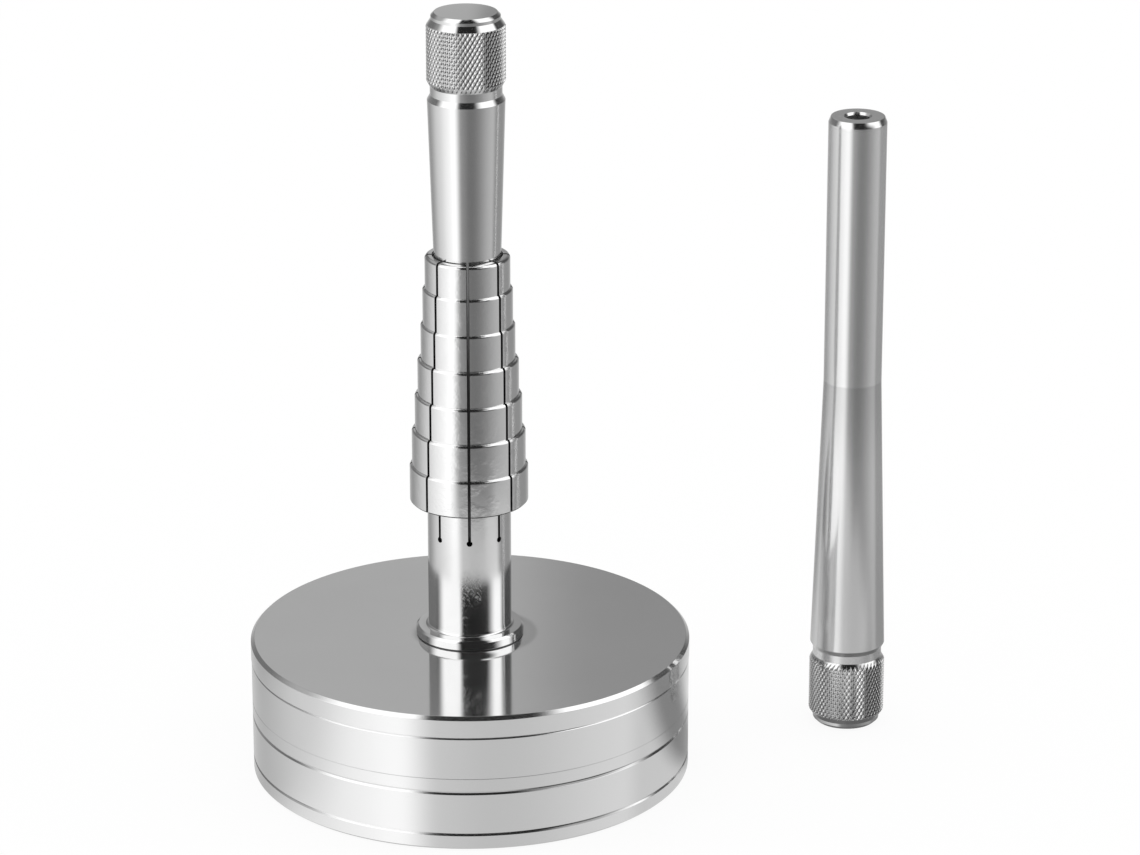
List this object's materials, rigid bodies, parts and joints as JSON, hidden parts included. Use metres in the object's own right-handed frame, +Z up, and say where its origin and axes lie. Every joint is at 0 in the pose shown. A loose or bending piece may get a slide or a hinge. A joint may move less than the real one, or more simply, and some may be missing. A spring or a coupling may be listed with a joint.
{
  "type": "ring stretcher",
  "caption": "Bench ring stretcher: weighted round base, stepped split mandrel with sprung jaws, a taper plunger that spreads them, and a second plunger beside it.",
  "frame": {"origin": "on the bench under the foot pad, on the axis of the mandrel", "axes": "+Z up along the mandrel, +X to the right towards the second plunger, -Y to the front, where one of the slots faces"},
  "size_m": [0.1325, 0.0902, 0.1603],
  "materials": {
    "base_mirror": "mirror polished steel with faint turning marks",
    "base_satin": "fine turned satin steel",
    "mandrel_steel": "polished hardened steel, lightly scuffed",
    "plunger_steel": "polished steel",
    "cap_steel": "diamond knurled polished steel",
    "fastener_steel": "dark zinc plated steel",
    "foot_rubber": "smooth black rubber"
  },
  "bodies": {
    "base": {"foot_pad": "foot_rubber", "base_bottom_plate": "base_satin", "bottom_screws": "fastener_steel", "base_body": "base_satin", "base_top_plate": "base_mirror", "mandrel_nut": "fastener_steel", "mandrel_washer": "fastener_steel", "mandrel_sleeve": "mandrel_steel"},
    "plunger": {"plunger_rod": "plunger_steel", "striking_cap": "cap_steel"},
    "spare_plunger": {"spare_rod": "plunger_steel", "spare_cap": "cap_steel"},
    "jaw_1": {"jaw_1": "mandrel_steel"},
    "jaw_2": {"jaw_2": "mandrel_steel"},
    "jaw_3": {"jaw_3": "mandrel_steel"},
    "jaw_4": {"jaw_4": "mandrel_steel"},
    "jaw_5": {"jaw_5": "mandrel_steel"},
    "jaw_6": {"jaw_6": "mandrel_steel"},
    "jaw_7": {"jaw_7": "mandrel_steel"},
    "jaw_8": {"jaw_8": "mandrel_steel"}
  },
  "joints": [
    {"name": "plunger_drive", "type": "slide", "parent": "base", "child": "plunger", "axis": [0, 0, -1], "range_m": [0, 0.02]},
    {"name": "spare_lift", "type": "slide", "parent": "base", "child": "spare_plunger", "axis": [0, 0, 1], "range_m": [0, 0.1]},
    {"name": "jaw_1_flex", "type": "hinge", "parent": "base", "child": "jaw_1", "pos_m": [0.00785, 0.00325, 0.0514], "axis": [-0.3827, 0.9239, 0], "range_deg": [0, 0.6991]},
    {"name": "jaw_2_flex", "type": "hinge", "parent": "base", "child": "jaw_2", "pos_m": [0.00325, 0.00785, 0.0514], "axis": [-0.9239, 0.3827, 0], "range_deg": [0, 0.6991]},
    {"name": "jaw_3_flex", "type": "hinge", "parent": "base", "child": "jaw_3", "pos_m": [-0.00325, 0.00785, 0.0514], "axis": [-0.9239, -0.3827, 0], "range_deg": [0, 0.6991]},
    {"name": "jaw_4_flex", "type": "hinge", "parent": "base", "child": "jaw_4", "pos_m": [-0.00785, 0.00325, 0.0514], "axis": [-0.3827, -0.9239, 0], "range_deg": [0, 0.6991]},
    {"name": "jaw_5_flex", "type": "hinge", "parent": "base", "child": "jaw_5", "pos_m": [-0.00785, -0.00325, 0.0514], "axis": [0.3827, -0.9239, 0], "range_deg": [0, 0.6991]},
    {"name": "jaw_6_flex", "type": "hinge", "parent": "base", "child": "jaw_6", "pos_m": [-0.00325, -0.00785, 0.0514], "axis": [0.9239, -0.3827, 0], "range_deg": [0, 0.6991]},
    {"name": "jaw_7_flex", "type": "hinge", "parent": "base", "child": "jaw_7", "pos_m": [0.00325, -0.00785, 0.0514], "axis": [0.9239, 0.3827, 0], "range_deg": [0, 0.6991]},
    {"name": "jaw_8_flex", "type": "hinge", "parent": "base", "child": "jaw_8", "pos_m": [0.00785, -0.00325, 0.0514], "axis": [0.3827, 0.9239, 0], "range_deg": [0, 0.6991]}
  ],
  "couplings": [
    {"joint": "jaw_1_flex", "follows": "plunger_drive", "rad_per_m": 0.61},
    {"joint": "jaw_2_flex", "follows": "plunger_drive", "rad_per_m": 0.61},
    {"joint": "jaw_3_flex", "follows": "plunger_drive", "rad_per_m": 0.61},
    {"joint": "jaw_4_flex", "follows": "plunger_drive", "rad_per_m": 0.61},
    {"joint": "jaw_5_flex", "follows": "plunger_drive", "rad_per_m": 0.61},
    {"joint": "jaw_6_flex", "follows": "plunger_drive", "rad_per_m": 0.61},
    {"joint": "jaw_7_flex", "follows": "plunger_drive", "rad_per_m": 0.61},
    {"joint": "jaw_8_flex", "follows": "plunger_drive", "rad_per_m": 0.61}
  ]
}
